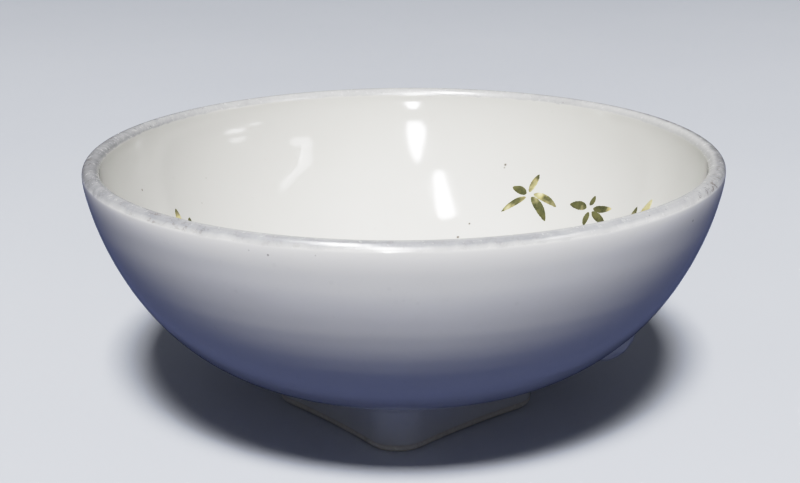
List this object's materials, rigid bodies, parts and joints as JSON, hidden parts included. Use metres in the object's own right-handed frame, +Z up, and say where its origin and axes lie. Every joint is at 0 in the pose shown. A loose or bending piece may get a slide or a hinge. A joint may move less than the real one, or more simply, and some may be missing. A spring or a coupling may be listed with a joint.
{
  "type": "footed porcelain cup",
  "caption": "Small round glazed porcelain drinking cup with a plain metal-lined lip, gilt leaf sprigs inside, and a low four-cornered hollow foot that it stands on.",
  "frame": {"origin": "centre of the foot's flat resting face, on the bowl's axis, at table height", "axes": "+Z up along the bowl's axis; +Y points at the gilt sprig side of the inner wall, away from the front foot corner; +X to the right when looking along +Y"},
  "size_m": [0.0881, 0.0882, 0.0379],
  "materials": {
    "biscuit": "matte, fine-grained white porcelain biscuit, faintly ivory",
    "glaze": "glossy clear glaze on white porcelain, with a few dark specks",
    "rim_metal": "thin worn silvery lustre, grey-blue, rubbed through in places",
    "gilt": "matte fired gilt, worn to olive"
  },
  "bodies": {
    "root": {"bowl_body": "biscuit", "foot": "biscuit", "luting_slip": "biscuit", "relief_pad": "biscuit", "outer_glaze": "glaze", "inner_glaze": "glaze", "base_glaze": "glaze", "foot_glaze": "glaze", "rim_band": "rim_metal", "gilt_sprig_back": "gilt", "gilt_sprig_right": "gilt", "gilt_sprig_side": "gilt", "gilt_sprig_left": "gilt"}
  },
  "joints": []
}
